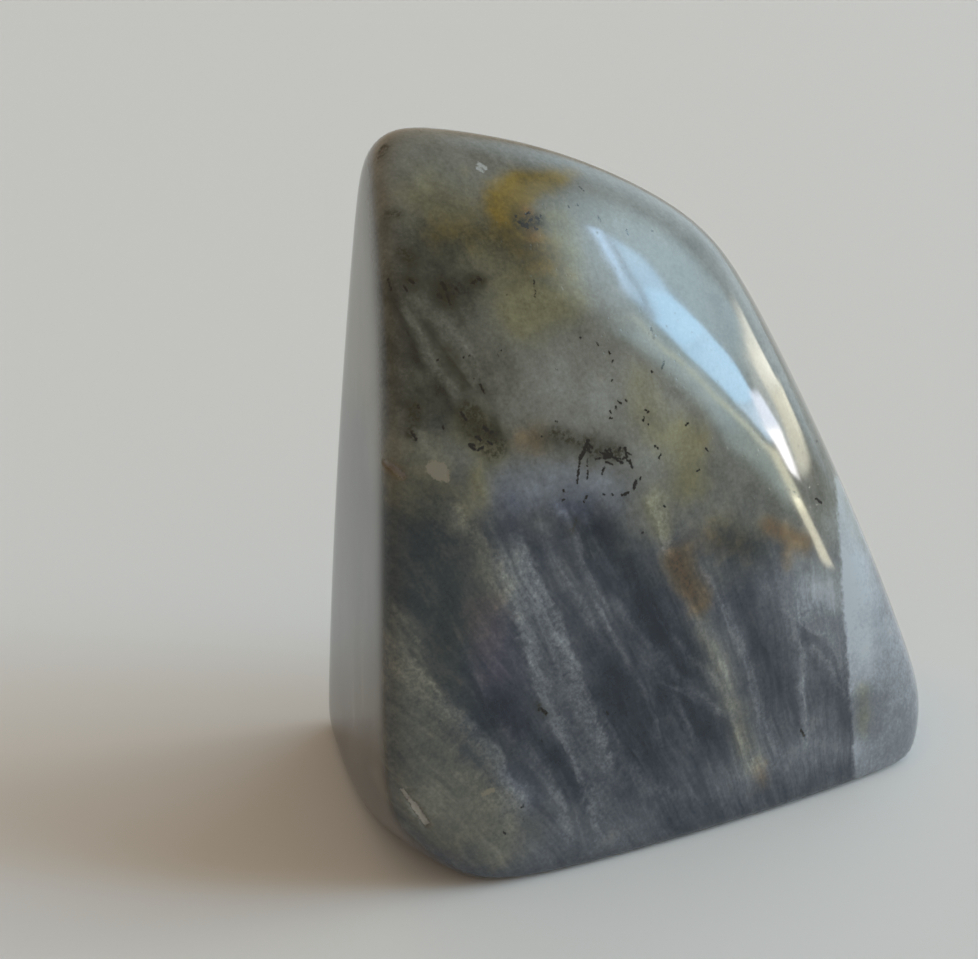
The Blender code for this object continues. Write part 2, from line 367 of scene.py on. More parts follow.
# The rock's colours at these tones, linear: the slate-blue rock, and the altered grey-green rock.
# Their top stop, at 1.5, is the pale blue-grey of the pale end and its painted sheen.
TONE_STOPS = (0.0, 0.25, 0.5, 0.75, 1.0, 1.5)
SLATE_COLOURS = (
    (0.003, 0.009, 0.020), (0.016, 0.025, 0.039), (0.044, 0.053, 0.071),
    (0.088, 0.098, 0.118), (0.152, 0.168, 0.192), (0.370, 0.408, 0.460),
)
ROCK_COLOURS = (
    (0.009, 0.012, 0.010), (0.043, 0.047, 0.038), (0.098, 0.101, 0.087),
    (0.158, 0.164, 0.150), (0.232, 0.250, 0.246), (0.370, 0.408, 0.450),
)
SLATE_TONE, ROCK_TONE = 0.46, 0.62

# Colours of the markings, linear.
COLOURS = {
    "moss": (0.016, 0.016, 0.006),
    "rust": (0.120, 0.066, 0.030),
    "fleck": (0.170, 0.152, 0.114),
    "scar": (0.360, 0.355, 0.335),
    "old scar": (0.130, 0.108, 0.086),
    "frost": (0.300, 0.320, 0.320),
    "speck": (0.002, 0.003, 0.003),
}

# Where the altered rock meets the slate, where the pale end starts, and how the veils run. The pale
# end is partly paler rock and partly painted sheen of the window light on the right side.
ALTERED_PIXELS = ((400, 480), (800, 556))
ALTERED_DIP = np.array((0.1, 1.0, -0.12))
ALTERED_WANDER, ALTERED_SOFTNESS = 22.0, 6.0
END_PIXELS = ((842, 575), (851, 720))
END_DIP = np.array((0.17, 0.98, 0.0))
# Between these heights the pale end grows lighter towards the top, a painted sheen of the window
# light.
PALE_AND_SHEEN_END_HEIGHTS = (5.0, 24.0)
PALE_AND_SHEEN_END_TONES = (0.98, 1.20)
END_RAGGED = (0.9, 0.3)
END_SOFTNESS = 0.30
STREAK_PIXELS = ((560, 640), (640, 779))
STREAK_FAN = 110.0

# The rock's noises: size in millimetres, detail and roughness.
NOISES = {
    "clouds": (9.0, 4.0, 0.6),
    "mottle": (2.4, 4.0, 0.6),
    "grain": (0.45, 3.0, 0.65),
    "ragged": (0.26, 3.0, 0.7),
}

# Streaks in the rock: how often they change across, along and behind, per millimetre, and spread;
# their noise and drifts; and how much they show.
STREAK_LAYERS = (
    ((0.15, 0.022, 0.06), 0.36),
    ((0.50, 0.060, 0.20), 0.44),
    ((1.40, 0.160, 0.50), 0.52),
)
STREAK_NOISE = (1.0, 3.0, 0.6)
STREAK_DRIFTS = ((18.0, 4.0), (3.5, 1.1))
CALM_IN_ROCK, CALM_IN_END = 0.65, 0.8
STREAK_CLOUDS, STREAK_LEAST, STREAK_PATCHES = (0.30, 0.68), 0.45, 0.8

# How much each noise and the thin veins change the tone, and how grainy the veils are.
CLOUDS_TONE, MOTTLE_TONE, GRAIN_TONE, VEIN_TONE = 0.42, 0.45, 0.44, 0.14
VEIL_BODY, VEIL_GRAIN, VEIL_MOTTLE = 0.95, 1.5, 0.6
VEIN_SOFTNESS, VEIN_WOBBLE = 0.25, 0.3
TINT_MOTTLE, TINT_EDGES = 0.7, (0.05, 0.95)

# Stains: kind, softness and wobble of the edge in millimetres, strength; and how they grain.
STAINS = (("rust", 0.8, 2.0, 0.60), ("moss", 0.7, 2.0, 0.92))
STAIN_GRAIN = (0.34, 0.60)

# Small marks: kind, softness and wobble of the edge in millimetres.
MARKS = (
    ("fleck", 0.10, 0.9), ("frost", 0.10, 0.8), ("scar", 0.10, 0.7), ("old scar", 0.10, 0.7),
)
SPECK_SOFTNESS, SPECK_WOBBLE = 0.05, 0.62

# Specks sown all over: their spacing in millimetres, their radius and softness as shares of it, and
# the size and share of their swarms.
SOWN_SPACING, SOWN_RADIUS, SOWN_SOFTNESS = 2.6, 0.075, 0.015
SWARM_SIZE, SWARM_SHARE, SOWN_IN_SLATE = 7.0, (0.52, 0.72), 0.3

# The polish: its gloss, then the sizes and heights of its waves and pits in millimetres. A pit's
# radii are shares of the pits' spacing.
REFRACTION = 1.56
ROUGHNESS, MOTTLED_ROUGHNESS, SCAR_ROUGHNESS = 0.048, 0.05, 0.5
SCAR_SOFTNESS, SCAR_WOBBLE = 0.10, 0.35
WAVE_SIZE, WAVE_HEIGHT = 6.0, 0.025
PIT_SPACING, PIT_RADII, PIT_HEIGHT = 0.9, (0.16, 0.04), -0.007
BROKEN_HEIGHT = 0.25

# How finely strokes are laid, in pixels and degrees; the farthest distance from a stroke that
# matters, and how near to the finest kinds the mesh is refined, in millimetres.
PIXEL_STEP, ANGLE_STEP, FAR = 12.0, 4.0, 6.0
FINE_KINDS = ("speck", "vein", "scar", "old scar", "fleck", "frost")
REFINED_REACH = (0.8, 0.4)

# The floor: its side in metres, linear colour and roughness.
FLOOR_SIZE, FLOOR_COLOUR, FLOOR_ROUGHNESS = 40.0, (0.68, 0.68, 0.69, 1.0), 0.8


def unit(vectors):
    return vectors / np.linalg.norm(vectors, axis=-1, keepdims=True)


def face_direction(azimuth, tilt):
    azimuth, tilt = math.radians(azimuth), math.radians(tilt)
    across = math.cos(tilt)
    return np.array((across * math.cos(azimuth), across * math.sin(azimuth), math.sin(tilt)))


FACE_NORMALS = np.array([face_direction(*face[:2]) for face in GROUND_FACES.values()])
FACE_DISTANCES, FACE_EDGES, FACE_CROWNS = np.array([face[2:] for face in GROUND_FACES.values()]).T


def grinding_shares(offsets):
    """How much each face counts at offsets from the centre, and how far they lie along it."""
    along = offsets @ FACE_NORMALS.T
    across_squared = (offsets**2).sum(axis=1, keepdims=True) - along**2
    past = (along - FACE_DISTANCES + across_squared / (2.0 * FACE_CROWNS)) / FACE_EDGES
    return np.exp(np.clip(past, -LARGEST_EXPONENT, LARGEST_EXPONENT)), along


def grinding_depth(offsets):
    """Over 1 outside the stone and under 1 inside it, for offsets from its centre."""
    shares, _ = grinding_shares(offsets)
    return shares.sum(axis=1)


def surface_normals(points):
    """The outward direction of the ground surface at each point."""
    offsets = points - CENTRE
    shares, along = grinding_shares(offsets)
    weight = shares / FACE_EDGES
    across = offsets[:, None, :] - along[..., None] * FACE_NORMALS
    slopes = FACE_NORMALS + across / FACE_CROWNS[None, :, None]
    return unit((weight[..., None] * slopes).sum(axis=1))


def first_crossing(start, directions, near, far):
    """Distances along directions where the surface lies between near and far, by halving."""
    inside_near = grinding_depth(start + directions * near[:, None] - CENTRE) < 1.0
    for _ in range(HALVINGS):
        middle = (near + far) / 2.0
        inside = grinding_depth(start + directions * middle[:, None] - CENTRE) < 1.0
        same = inside == inside_near
        near = np.where(same, middle, near)
        far = np.where(same, far, middle)
    return near


def ground_surface(directions):
    """The point of the stone's surface along each direction from its centre."""
    count = len(directions)
    reach = first_crossing(CENTRE, directions, np.zeros(count), np.full(count, FARTHEST))
    return CENTRE + directions * reach[:, None]


def photo_points(pixels):
    """The points of the stone that the given photo pixels show, across and down by turns."""
    down = math.radians(CAMERA_DOWN)
    forward = np.array((0.0, math.cos(down), -math.sin(down)))
    upward = np.array((0.0, math.sin(down), math.cos(down)))
    pixels = np.reshape(pixels, (-1, 2)).astype(float)
    right = (pixels[:, :1] - PHOTO_WIDTH / 2.0) / FOCAL_PIXELS * np.array((1.0, 0.0, 0.0))
    rays = forward + right + (PHOTO_HEIGHT / 2.0 - pixels[:, 1:]) / FOCAL_PIXELS * upward
    places = CAMERA_AT + rays[:, None, :] * STONE_DEPTHS[None, :, None] - CENTRE
    inside = (grinding_depth(places.reshape(-1, 3)) < 1.0).reshape(len(rays), -1)
    if not inside.any(axis=1).all():
        raise ValueError(f"photo pixels off the stone: {pixels[~inside.any(axis=1)].tolist()}")
    entered = STONE_DEPTHS[inside.argmax(axis=1)]
    reach = first_crossing(CAMERA_AT, rays, entered - 1.0, entered)
    return CAMERA_AT + rays * reach[:, None]


def add_object(name, data):
    added = bpy.data.objects.new(name, data)
    bpy.context.scene.collection.objects.link(added)
    return added


def make_camera():
    data = bpy.data.cameras.new("photo_camera")
    data.sensor_fit = "HORIZONTAL"
    data.sensor_width = SENSOR_WIDTH
    data.lens = FOCAL_PIXELS / PHOTO_WIDTH * SENSOR_WIDTH
    data.clip_start = NEAREST_SEEN
    camera = add_object("photo_camera", data)
    camera.location = CAMERA_AT * MM
    camera.rotation_euler = (math.radians(90.0 - CAMERA_DOWN), 0.0, 0.0)
    bpy.context.scene.camera = camera


def line_points(numbers, step):
    """The corners that the numbers give two by two, with points between them at most step apart."""
    corners = list(zip(numbers[::2], numbers[1::2]))
    finer = [corners[0]]
    for start, end in zip(corners, corners[1:]):
        pieces = max(1, math.ceil(math.dist(start, end) / step))
        for piece in range(1, pieces + 1):
            share = piece / pieces
            finer.append(tuple(a + (b - a) * share for a, b in zip(start, end)))
    return finer


def round_points(angles):
    """The points of the surface seen from the stone's centre at each azimuth and elevation."""
    reach = HALF_SIZE.max()
    return ground_surface(np.array([face_direction(*pair) for pair in angles]) * reach)


def laid(entries, onto, step, heads):
    """Entries whose numbers after the leading ones are laid on the stone as points."""
    return [(*entry[:heads], onto(line_points(entry[heads:], step))) for entry in entries]


def all_round(seen, hidden, heads):
    """Lays both what the photo shows and what the hidden sides have."""
    return laid(seen, photo_points, PIXEL_STEP, heads) + laid(
        hidden, round_points, ANGLE_STEP, heads
    )


def all_strokes(kind):
    return all_round(STROKES[kind], ROUND_STROKES.get(kind, ()), 1)


def segment_gap(places, start, end):
    """Each place's share of the way from start to end, and how far it is from that line."""
    along = end - start
    share = np.clip((places - start) @ along / (along @ along), 0.0, 1.0)
    return share, np.linalg.norm(places - start - share[:, None] * along, axis=1)


def distance_to_stroke(places, points):
    """How far each place is from the line through the points, in millimetres."""
    pieces = zip(points, points[1:])
    return np.min([segment_gap(places, start, end)[1] for start, end in pieces], axis=0)


def distance_to_strokes(places, strokes):
    """How far each place is outside the nearest stroke; negative inside it."""
    nearest = np.full(len(places), FAR)
    for width, points in strokes:
        middle = points.mean(axis=0)
        span = np.linalg.norm(points - middle, axis=1).max() + width + FAR
        close = np.linalg.norm(places - middle, axis=1) < span
        outside = distance_to_stroke(places[close], points) - width
        nearest[close] = np.minimum(nearest[close], outside)
    return nearest


def patch_sum(places, patches):
    """The soft patches added up at each place."""
    total = np.zeros(len(places))
    for radius, strength, line in patches:
        reach = distance_to_stroke(places, line) / radius
        total += strength * np.exp(-(reach**2))
    return total


def veil_reach(places, line, fade):
    """1 on a veil's line and less beside it, with a crisp fade to its left, soft to its right."""
    nearest = np.full(len(places), np.inf)
    side, run = np.zeros((2, len(places)))
    pieces = len(line) - 1
    for index, (start, end, normal) in enumerate(zip(line, line[1:], surface_normals(line))):
        share, gap = segment_gap(places, start, end)
        closer = gap < nearest
        nearest[closer] = gap[closer]
        side[closer] = (places[closer] - start) @ np.cross(normal, end - start)
        run[closer] = (index + share[closer]) / pieces
    width = np.where(side > 0.0, VEIL_CRISPNESS, fade)
    taper = np.clip(np.minimum(run, 1.0 - run) / VEIL_TAPER, 0.0, 1.0)
    return taper * np.exp(-((nearest / width) ** 2))


def wandered(places, size, reach):
    """The places pushed about by smooth noise, so that lines laid on them wander."""
    scaled = [Vector(place) / size for place in places]
    pushes = [[noise.noise(place + shift) for shift in WANDER_SHIFTS] for place in scaled]
    return places + reach * np.array(pushes)


def veil_tone(places, veils):
    lighter = darker = np.zeros(len(places))
    for size, reach in VEIL_WANDER:
        places = wandered(places, size, reach)
    for fade, change, line in veils:
        change = change * veil_reach(places, line, fade)
        lighter = np.maximum(lighter, change)
        darker = np.minimum(darker, change)
    return lighter + darker


def bmesh_points(ball):
    return np.array([vertex.co for vertex in ball.verts]) / MM


def set_points(ball, points):
    for vertex, point in zip(ball.verts, points * MM):
        vertex.co = point


def triangulate(ball):
    bmesh.ops.triangulate(ball, faces=[face for face in ball.faces if len(face.verts) > 3])


def refine(ball, strokes, reach, wander=()):
    """Halves the edges near the strokes, and puts the new points on the surface."""
    points = bmesh_points(ball)
    ball.verts.index_update()
    ends = np.array([[vertex.index for vertex in edge.verts] for edge in ball.edges])
    middles = points[ends].mean(axis=1)
    for size, push in wander:
        middles = wandered(middles, size, push)
    near = distance_to_strokes(middles, strokes) < reach
    edges = [edge for edge, is_near in zip(ball.edges, near) if is_near]
    bmesh.ops.subdivide_edges(ball, edges=edges, cuts=1)
    triangulate(ball)
    set_points(ball, ground_surface(bmesh_points(ball) - CENTRE))


def roughened(point, share, size, seed):
    """Smooth noise around 0, for a point in millimetres."""
    return share * noise.noise(Vector(point) / size + Vector((seed, seed, seed)))


def dent(points, normals):
    """The points with the chip, the pits and the nick sunk in, and which of them moved."""
    moved = np.zeros(len(points), dtype=bool)
    points = points.copy()
    for depth, rim, *strokes in DENTS.values():
        outside = distance_to_strokes(points, laid(strokes, photo_points, PIXEL_STEP, 1))
        for index in np.nonzero(outside < rim * 2.0)[0]:
            ragged = outside[index] + rim * roughened(points[index], *RAGGED_RIM)
            share = min(max((rim - ragged) / (2.0 * rim), 0.0), 1.0)
            share = share * share * (3.0 - 2.0 * share)
            if share > 0.0:
                sunk = depth * share * (1.0 + roughened(points[index], *UNEVEN_FLOOR))
                points[index] -= normals[index] * sunk
                moved[index] = True
    return points, moved


def cut_flat(ball):
    """Cuts the stone off at the floor and closes it with its flat base."""
    bmesh.ops.bisect_plane(
        ball,
        geom=ball.verts[:] + ball.edges[:] + ball.faces[:],
        dist=CUT_TOLERANCE,
        plane_co=(0.0, 0.0, 0.0),
        plane_no=(0.0, 0.0, 1.0),
        clear_inner=True,
    )
    rim = [edge for edge in ball.edges if edge.is_boundary]
    base = bmesh.ops.contextual_create(ball, geom=rim)["faces"]
    bmesh.ops.recalc_face_normals(ball, faces=ball.faces[:])
    bmesh.ops.triangulate(ball, faces=base)
    triangulate(ball)


def make_stone_mesh():
    ball = bmesh.new()
    bmesh.ops.create_icosphere(ball, subdivisions=SPHERE_SUBDIVISIONS, radius=1.0)
    set_points(ball, ground_surface(bmesh_points(ball) * MM * HALF_SIZE))
    fine = [stroke for kind in FINE_KINDS for stroke in all_strokes(kind)]
    for reach in REFINED_REACH:
        refine(ball, fine, reach)
    veils = [(0.0, line) for _, _, line in all_round(VEILS, ROUND_VEILS, 2)]
    refine(ball, veils, VEIL_REFINED, VEIL_WANDER)
    cut_flat(ball)
    mesh = bpy.data.meshes.new("polished_stone")
    ball.to_mesh(mesh)
    ball.free()
    return mesh


def read_all(items, name, width=3, kind=float):
    """The same value or vector of every item, in rows."""
    values = np.empty(len(items) * width, dtype=kind)
    items.foreach_get(name, values)
    return values.reshape(-1, width)


def shade_exactly(mesh, normals, moved):
    """Gives each corner the ground surface's own normal, so the polish mirrors cleanly."""
    mesh.shade_smooth()
    normals = np.where(moved[:, None], read_all(mesh.vertex_normals, "vector"), normals)
    corners = read_all(mesh.loops, "vertex_index", 1, int)[:, 0]
    faces = np.repeat(read_all(mesh.polygon_normals, "vector"), 3, axis=0)
    flat = faces[:, 2:] < FLAT_DOWN
    corner_normals = np.where(flat, (0.0, 0.0, -1.0), normals[corners])
    mesh.normals_split_custom_set(corner_normals.tolist())


def add_value(mesh, name, values):
    layer = mesh.attributes.new(name, "FLOAT", "POINT")
    layer.data.foreach_set("value", values.astype(np.float32))


def make_stone():
    mesh = make_stone_mesh()
    points = read_all(mesh.vertices, "co") / MM
    normals = surface_normals(points)
    for kind in STROKES:
        add_value(mesh, kind, distance_to_strokes(points, all_strokes(kind)))
    add_value(mesh, "tone", patch_sum(points, all_round(TONE_AND_SHEEN_PATCHES, ROUND_TONE_PATCHES, 2)))
    add_value(mesh, "veil", veil_tone(points, all_round(VEILS, ROUND_VEILS, 2)))
    for name, (_, *patches) in TINTS.items():
        patches = all_round(patches, ROUND_TINTS[name], 2)
        add_value(mesh, name, patch_sum(points, patches))
    sunk, moved = dent(points, normals)
    mesh.vertices.foreach_set("co", (sunk * MM).ravel())
    mesh.update()
    shade_exactly(mesh, normals, moved)
    stone = add_object("polished_stone", mesh)
    mesh.materials.append(make_stone_material())
    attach(stone, "root")
    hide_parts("stone")


class Paint:
    """Adds shader nodes; each method takes sockets or plain values and returns a socket."""

    def __init__(self, tree):
        self.tree = tree

    def node(self, kind, inputs, output=0, **settings):
        made = self.tree.nodes.new("ShaderNode" + kind)
        for name, value in settings.items():
            setattr(made, name, value)
        for name, value in inputs.items():
            if isinstance(value, bpy.types.NodeSocket):
                self.tree.links.new(value, made.inputs[name])
            else:
                made.inputs[name].default_value = value
        return made.outputs[output]

    def math(self, operation, first, second=0.0, third=0.0):
        return self.node("Math", {0: first, 1: second, 2: third}, operation=operation)

    def times(self, first, second):
        return self.math("MULTIPLY", first, second)

    def scaled(self, value, factor, shift):
        return self.math("MULTIPLY_ADD", value, factor, shift)

    def total(self, *values):
        together = values[0]
        for value in values[1:]:
            together = self.math("ADD", together, value)
        return together

    def centred(self, value, spread):
        """A value from 0 to 1, moved to lie around 0."""
        return self.scaled(value, spread, -spread / 2.0)

    def smooth(self, value, start, end):
        """0 at start and 1 at end, with a soft step between them."""
        inputs = {"Value": value, "From Min": start, "From Max": end}
        return self.node("MapRange", inputs, interpolation_type="SMOOTHSTEP")

    def blend(self, share, below, above, blend_type="MIX"):
        """Mixes two colours, given as sockets or as red, green and blue."""
        below, above = ((*c, 1.0) if isinstance(c, tuple) else c for c in (below, above))
        inputs = {"Factor": share, "A": below, "B": above}
        return self.node("Mix", inputs, "Result", data_type="RGBA", blend_type=blend_type)

    def ramp(self, value, colours):
        """The colour at a value, where the colours are those at the tone stops."""
        top = TONE_STOPS[-1]
        shade = self.node("ValToRGB", {"Fac": self.math("DIVIDE", value, top)}, "Color")
        elements = shade.node.color_ramp.elements
        for stop in TONE_STOPS[1:-1]:
            elements.new(stop / top)
        for element, colour in zip(elements, colours):
            element.color = (*colour, 1.0)
        return shade

    def noise(self, place, size, detail=2.0, roughness=0.5, output="Fac"):
        inputs = {"Vector": place, "Scale": 1.0 / size, "Detail": detail, "Roughness": roughness}
        return self.node("TexNoise", inputs, output)

    def cells(self, place, spacing):
        """How far the place is from the nearest of scattered points, as a share of the spacing."""
        inputs = {"Vector": place, "Scale": 1.0 / spacing, "Randomness": 1.0}
        return self.node("TexVoronoi", inputs, "Distance")

    def vector(self, operation, first, second):
        second_name = "Scale" if operation == "SCALE" else 1
        return self.node("VectorMath", {0: first, second_name: second}, operation=operation)

    def dot(self, place, axis):
        inputs = {0: place, 1: tuple(axis)}
        return self.node("VectorMath", inputs, "Value", operation="DOT_PRODUCT")

    def value(self, name):
        return self.node("Attribute", {}, "Fac", attribute_name=name)


def past_plane(paint, place, pixels, into):
    """How far the place is past the plane through two photo pixels that runs into the stone."""
    first, second = photo_points(pixels)
    normal = unit(np.cross(second - first, into))
    return paint.math("SUBTRACT", paint.dot(place, normal), float(normal @ first))


def streak_coordinates(paint, place):
    """The place counted across, along and behind the veils, which fan out upwards."""
    first, second = photo_points(STREAK_PIXELS)
    along = unit(second - first)
    behind = surface_normals(first[None])[0]
    across = np.cross(along, behind)
    offset = paint.vector("SUBTRACT", place, tuple(first))
    axes = [paint.dot(offset, axis) for axis in (across, along, behind)]
    fan = paint.scaled(axes[1], -1.0 / STREAK_FAN, 1.0)
    inputs = {"X": paint.math("DIVIDE", axes[0], fan), "Y": axes[1], "Z": axes[2]}
    return paint.node("CombineXYZ", inputs)


def stroke_share(paint, kind, ragged, soft, wobble):
    """1 inside a kind of stroke and 0 outside, with a ragged edge."""
    shifted = paint.total(paint.value(kind), paint.centred(ragged, wobble))
    return paint.smooth(shifted, soft, -soft)


# What the rock's texture is made of: places in millimetres, and noises of several sizes.
Texture = collections.namedtuple("Texture", ["place", "height", "streaky", *NOISES])


def make_texture(paint):
    place = paint.vector("SCALE", paint.node("TexCoord", {}, "Object"), 1.0 / MM)
    drifted = place
    for size, reach in STREAK_DRIFTS:
        drift = paint.noise(place, size, output="Color")
        drift = paint.vector("SCALE", paint.vector("SUBTRACT", drift, (0.5, 0.5, 0.5)), reach)
        drifted = paint.vector("ADD", drifted, drift)
    streaks = streak_coordinates(paint, drifted)
    layers = [
        paint.centred(paint.noise(paint.vector("MULTIPLY", streaks, often), *STREAK_NOISE), spread)
        for often, spread in STREAK_LAYERS
    ]
    return Texture(
        place=place,
        height=paint.node("SeparateXYZ", {"Vector": place}, "Z"),
        streaky=paint.total(*layers),
        **{name: paint.noise(place, *look) for name, look in NOISES.items()},
    )


def altered_share(paint, texture):
    """1 in the altered rock of the upper part and 0 in the slate below it."""
    above = past_plane(paint, texture.place, ALTERED_PIXELS, ALTERED_DIP)
    above = paint.total(above, paint.centred(texture.clouds, ALTERED_WANDER))
    return paint.smooth(above, -ALTERED_SOFTNESS, ALTERED_SOFTNESS)


def pale_and_sheen_end_share(paint, texture):
    """1 in the pale end of the stone, whose border is crisp: paler rock with painted sheen on it.
    """
    past = past_plane(paint, texture.place, END_PIXELS, END_DIP)
    noises = (texture.mottle, texture.grain)
    ragged = [paint.centred(value, spread) for value, spread in zip(noises, END_RAGGED)]
    return paint.smooth(paint.total(past, *ragged), -END_SOFTNESS, END_SOFTNESS)


def base_tone(paint, texture, altered, end):
    """How light each kind of rock is of itself, and the pale end with its painted sheen."""
    tone = paint.scaled(altered, ROCK_TONE - SLATE_TONE, SLATE_TONE)
    rise = paint.smooth(texture.height, *PALE_AND_SHEEN_END_HEIGHTS)
    pale_and_sheen_end_tone = paint.scaled(rise, PALE_AND_SHEEN_END_TONES[1] - PALE_AND_SHEEN_END_TONES[0], PALE_AND_SHEEN_END_TONES[0])
    return paint.scaled(end, paint.math("SUBTRACT", pale_and_sheen_end_tone, tone), tone)


def streak_share(paint, texture, altered, end):
    """How much the streaks show: less in the altered rock, and least in the pale end."""
    calm = paint.scaled(altered, -CALM_IN_ROCK, 1.0)
    calmer = paint.scaled(end, -CALM_IN_END, 1.0)
    patchy = paint.smooth(texture.clouds, *STREAK_CLOUDS)
    patchy = paint.scaled(patchy, STREAK_PATCHES, STREAK_LEAST)
    return paint.times(patchy, paint.times(calm, calmer))


def grainy_veils(paint, texture):
    grain = paint.centred(texture.grain, VEIL_GRAIN)
    body = paint.total(VEIL_BODY, grain, paint.centred(texture.mottle, VEIL_MOTTLE))
    return paint.times(paint.value("veil"), paint.math("MAXIMUM", body, 0.0))


def rock_tone(paint, texture, altered):
    """How light the rock is, before its colour is chosen."""
    end = pale_and_sheen_end_share(paint, texture)
    vein = stroke_share(paint, "vein", texture.ragged, VEIN_SOFTNESS, VEIN_WOBBLE)
    return paint.total(
        paint.value("tone"),
        grainy_veils(paint, texture),
        base_tone(paint, texture, altered, end),
        paint.centred(texture.clouds, CLOUDS_TONE),
        paint.centred(texture.mottle, MOTTLE_TONE),
        paint.centred(texture.grain, GRAIN_TONE),
        paint.times(vein, VEIN_TONE),
        paint.times(texture.streaky, streak_share(paint, texture, altered, end)),
    )


def rock_colour(paint, texture):
    altered = altered_share(paint, texture)
    tone = rock_tone(paint, texture, altered)
    painted = paint.blend(altered, paint.ramp(tone, SLATE_COLOURS), paint.ramp(tone, ROCK_COLOURS))
    for name, (tint, *_) in TINTS.items():
        spread = paint.total(paint.value(name), paint.centred(texture.mottle, TINT_MOTTLE))
        painted = paint.blend(paint.smooth(spread, *TINT_EDGES), painted, tint, "MULTIPLY")
    return painted, altered


def marked_colour(paint, texture):
    """The rock's colour with the stains, marks and specks on it."""
    painted, altered = rock_colour(paint, texture)
    granular = paint.smooth(texture.grain, *STAIN_GRAIN)
    for kind, soft, wobble, strength in STAINS:
        share = stroke_share(paint, kind, texture.mottle, soft, wobble)
        share = paint.times(share, paint.times(granular, strength))
        painted = paint.blend(share, painted, COLOURS[kind])
    for kind, soft, wobble in MARKS:
        share = stroke_share(paint, kind, texture.ragged, soft, wobble)
        painted = paint.blend(share, painted, COLOURS[kind])
    speck = stroke_share(paint, "speck", texture.ragged, SPECK_SOFTNESS, SPECK_WOBBLE)
    speck = paint.math("MAXIMUM", speck, sown_specks(paint, texture.place, altered))
    return paint.blend(speck, painted, COLOURS["speck"])


def make_stone_material():
    material = bpy.data.materials.new("polished_labradorite")
    material.use_nodes = True
    tree = material.node_tree
    paint = Paint(tree)
    texture = make_texture(paint)
    scar = stroke_share(paint, "scar", texture.ragged, SCAR_SOFTNESS, SCAR_WOBBLE)
    mottled = paint.scaled(texture.mottle, MOTTLED_ROUGHNESS, ROUGHNESS)
    rough = paint.scaled(scar, SCAR_ROUGHNESS, mottled)
    shader = tree.nodes["Principled BSDF"]
    shader.inputs["IOR"].default_value = REFRACTION
    tree.links.new(marked_colour(paint, texture), shader.inputs["Base Color"])
    tree.links.new(rough, shader.inputs["Roughness"])
    tree.links.new(polish_normal(paint, texture, scar), shader.inputs["Normal"])
    return material


def sown_specks(paint, place, altered):
    """Small black specks all over, closer together in the altered rock and in loose swarms."""
    swarm = paint.smooth(paint.noise(place, SWARM_SIZE), *SWARM_SHARE)
    sown = paint.scaled(altered, 1.0 - SOWN_IN_SLATE, SOWN_IN_SLATE)
    reach = paint.times(paint.times(swarm, SOWN_RADIUS), sown)
    past = paint.math("SUBTRACT", paint.cells(place, SOWN_SPACING), reach)
    return paint.smooth(past, SOWN_SOFTNESS, -SOWN_SOFTNESS)


def polish_normal(paint, texture, scar):
    """A hand polish: faintly wavy, with fine pits and the scars' broken floor."""
    waves = paint.noise(texture.place, WAVE_SIZE, detail=1.0)
    pits = paint.smooth(paint.cells(texture.place, PIT_SPACING), *PIT_RADII)
    broken = paint.times(scar, texture.grain)
    parts = ((waves, WAVE_HEIGHT), (pits, PIT_HEIGHT), (broken, BROKEN_HEIGHT))
    relief = paint.total(*(paint.times(part, height) for part, height in parts))
    inputs = {"Strength": 1.0, "Distance": MM, "Height": relief}
    return paint.node("Bump", inputs, "Normal")


def make_floor():
    bpy.ops.mesh.primitive_plane_add(size=FLOOR_SIZE)
    floor = bpy.context.object
    floor.name = "floor"
    material = bpy.data.materials.new("pale_floor")
    material.use_nodes = True
    shader = material.node_tree.nodes["Principled BSDF"]
    shader.inputs["Base Color"].default_value = FLOOR_COLOUR
    shader.inputs["Roughness"].default_value = FLOOR_ROUGHNESS
    floor.data.materials.append(material)


